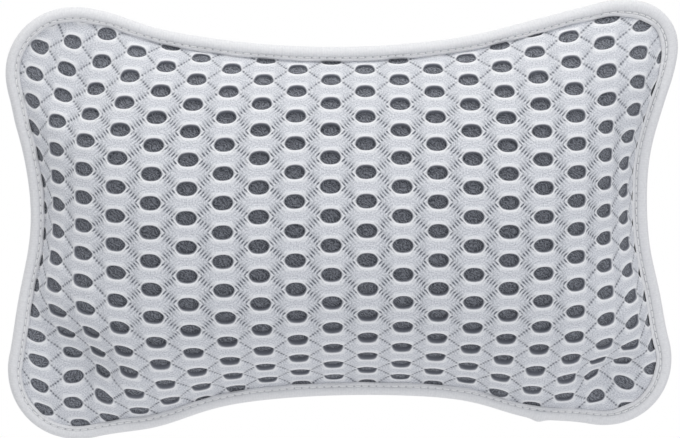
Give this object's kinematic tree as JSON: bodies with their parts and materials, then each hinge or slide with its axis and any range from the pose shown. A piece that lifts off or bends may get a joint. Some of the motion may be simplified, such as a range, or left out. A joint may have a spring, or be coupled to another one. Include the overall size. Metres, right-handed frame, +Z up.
{
  "type": "bath pillow",
  "caption": "Bone-shaped bath pillow: crowned open-knit face over a dark lining, bound edge, fibre filling, and swivelling suction cups behind the corner lobes",
  "frame": {"origin": "On the bath wall plane, at the middle of the four suction cups, which is also the middle of the pillow's outline.", "axes": "+X to the right seen from the front, along the pillow's length; +Y from the bather to the bath wall; +Z up."},
  "size_m": [0.31, 0.0698, 0.1988],
  "materials": {
    "face_knit": "matt open spacer knit",
    "dark_knit": "matt knit",
    "back_knit": "matt fine knit",
    "binding_tape": "woven tape",
    "thread": "spun thread",
    "hollow_fibre": "loose fibre",
    "patch_felt": "stiff felt",
    "white_plastic": "moulded satin",
    "clear_vinyl": "clear glossy"
  },
  "bodies": {
    "pillow": {"filling": "hollow_fibre", "front_lining": "dark_knit", "front_face_mesh": "face_knit", "back_panel": "back_knit", "edge_binding": "binding_tape", "needle_thread": "thread", "bobbin_thread": "thread", "eyelet_top_left": "white_plastic", "washer_top_left": "white_plastic", "patch_top_left": "patch_felt", "eyelet_top_right": "white_plastic", "washer_top_right": "white_plastic", "patch_top_right": "patch_felt", "eyelet_bottom_left": "white_plastic", "washer_bottom_left": "white_plastic", "patch_bottom_left": "patch_felt", "eyelet_bottom_right": "white_plastic", "washer_bottom_right": "white_plastic", "patch_bottom_right": "patch_felt"},
    "cup_top_left": {"suction_cup_top_left": "clear_vinyl"},
    "cup_top_right": {"suction_cup_top_right": "clear_vinyl"},
    "cup_bottom_left": {"suction_cup_bottom_left": "clear_vinyl"},
    "cup_bottom_right": {"suction_cup_bottom_right": "clear_vinyl"}
  },
  "joints": [
    {"name": "cup_swivel_top_left", "type": "hinge", "parent": "pillow", "child": "cup_top_left", "pos_m": [-0.112, -0.0165, 0.0615], "axis": [0, 1, 0], "continuous": true},
    {"name": "cup_swivel_top_right", "type": "hinge", "parent": "pillow", "child": "cup_top_right", "pos_m": [0.112, -0.0165, 0.0615], "axis": [0, 1, 0], "continuous": true},
    {"name": "cup_swivel_bottom_left", "type": "hinge", "parent": "pillow", "child": "cup_bottom_left", "pos_m": [-0.112, -0.0165, -0.0615], "axis": [0, 1, 0], "continuous": true},
    {"name": "cup_swivel_bottom_right", "type": "hinge", "parent": "pillow", "child": "cup_bottom_right", "pos_m": [0.112, -0.0165, -0.0615], "axis": [0, 1, 0], "continuous": true}
  ]
}
